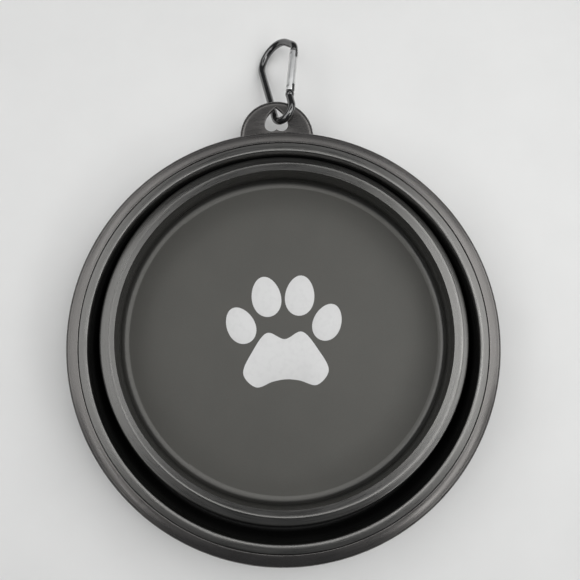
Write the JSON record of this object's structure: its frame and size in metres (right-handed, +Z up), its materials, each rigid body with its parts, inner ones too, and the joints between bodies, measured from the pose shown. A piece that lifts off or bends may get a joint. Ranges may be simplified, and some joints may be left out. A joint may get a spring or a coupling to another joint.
{
  "type": "portable pet bowl",
  "caption": "Round folding pet bowl, folded: hard rim ring with a hang tab, soft folding wall, flat cup floor, and a small sprung-gate carabiner through the tab's heart-shaped hole.",
  "frame": {"origin": "middle of the cup's flat underside, on the surface it stands on", "axes": "+Z up, +Y from the bowl towards the hang tab and carabiner, +X to the right in the picture"},
  "size_m": [0.18, 0.232, 0.026],
  "materials": {
    "hard_rim": "satin black",
    "soft_wall": "matt black, soft to the touch",
    "black_metal": "gloss black",
    "bare_metal": "satin",
    "pin_steel": "satin"
  },
  "bodies": {
    "cup": {"lower_cup": "soft_wall", "folding_web": "soft_wall"},
    "rim": {"rim_ring": "hard_rim", "upper_wall": "soft_wall"},
    "carabiner": {"carabiner_frame": "black_metal"},
    "gate": {"carabiner_gate": "bare_metal", "gate_hinge_rivet": "pin_steel", "gate_latch_pin": "pin_steel", "gate_spring": "pin_steel"}
  },
  "joints": [
    {"name": "bowl_unfold", "type": "slide", "parent": "cup", "child": "rim", "axis": [0, 0.081, 0.9967], "range_m": [0, 0.03211], "deforming": ["folding_web"]},
    {"name": "carabiner_swing", "type": "hinge", "parent": "rim", "child": "carabiner", "pos_m": [0, 0.1006, 0.0191], "axis": [0.963, 0.2696, 0], "range_deg": [-90, 3]},
    {"name": "gate_open", "type": "hinge", "parent": "carabiner", "child": "gate", "pos_m": [0.00686, 0.10951, 0.02015], "axis": [-0.682, 0.2199, 0.6975], "range_deg": [0, 40], "stiffness_Nm_per_rad": 0.02, "springref_deg": -28.65}
  ]
}
